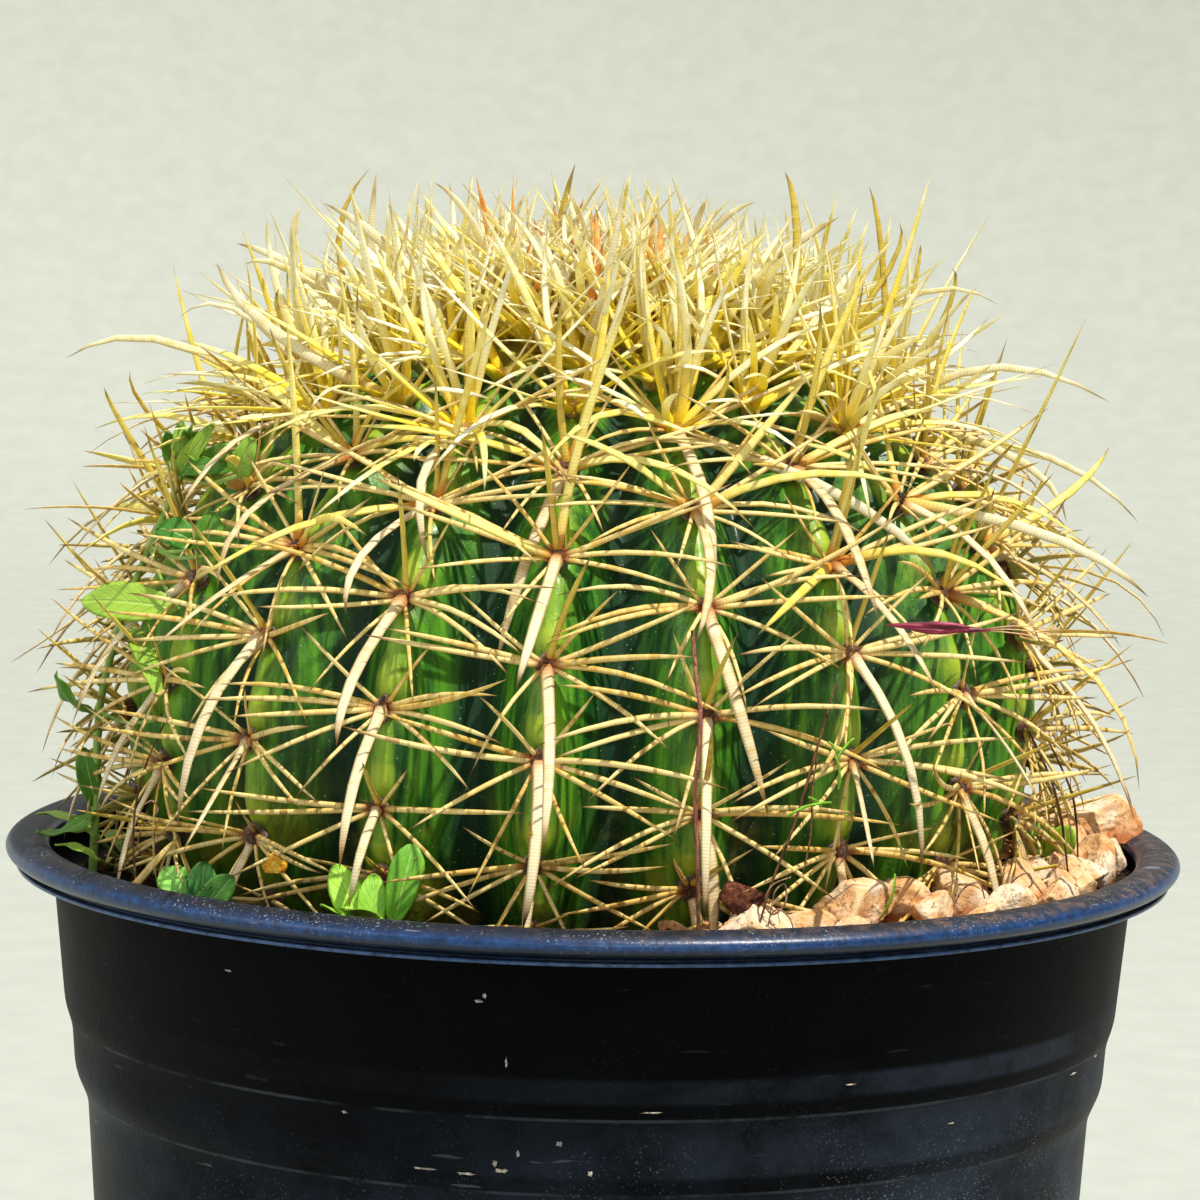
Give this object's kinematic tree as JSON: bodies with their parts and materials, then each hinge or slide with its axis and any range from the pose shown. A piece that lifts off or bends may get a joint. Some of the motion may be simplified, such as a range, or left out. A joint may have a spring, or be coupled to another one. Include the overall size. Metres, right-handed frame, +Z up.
{
  "type": "potted round cactus",
  "caption": "Flattened globe cactus with deep ribs and long curved straw-coloured spines, in a black plastic nursery pot with gravel and small weeds inside the rolled rim.",
  "frame": {"origin": "centre of the pot's base, on the surface that it stands on", "axes": "+Z up along the pot's axis; -Y is the front, the side that the picture shows; +X is to its right"},
  "size_m": [0.27, 0.27, 0.3816],
  "materials": {
    "pot_plastic": "satin",
    "soil": "matte",
    "cactus": "satin",
    "spine": "satin",
    "stone": "matte",
    "weed": "satin"
  },
  "bodies": {
    "root": {"pot": "pot_plastic", "soil": "soil", "cactus": "cactus", "stone_01": "stone", "stone_02": "stone", "stone_03": "stone", "stone_04": "stone", "stone_05": "stone", "stone_06": "stone", "stone_07": "stone", "stone_08": "stone", "stone_09": "stone", "stone_10": "stone", "stone_11": "stone", "stone_12": "stone", "stone_13": "stone", "stone_14": "stone", "stone_15": "stone", "stone_16": "stone", "stone_17": "stone", "tall_weed": "weed", "round_leaf_seedling": "weed", "lobed_seedling": "weed", "rim_weed": "weed", "gravel_seedling": "weed"}
  },
  "joints": []
}
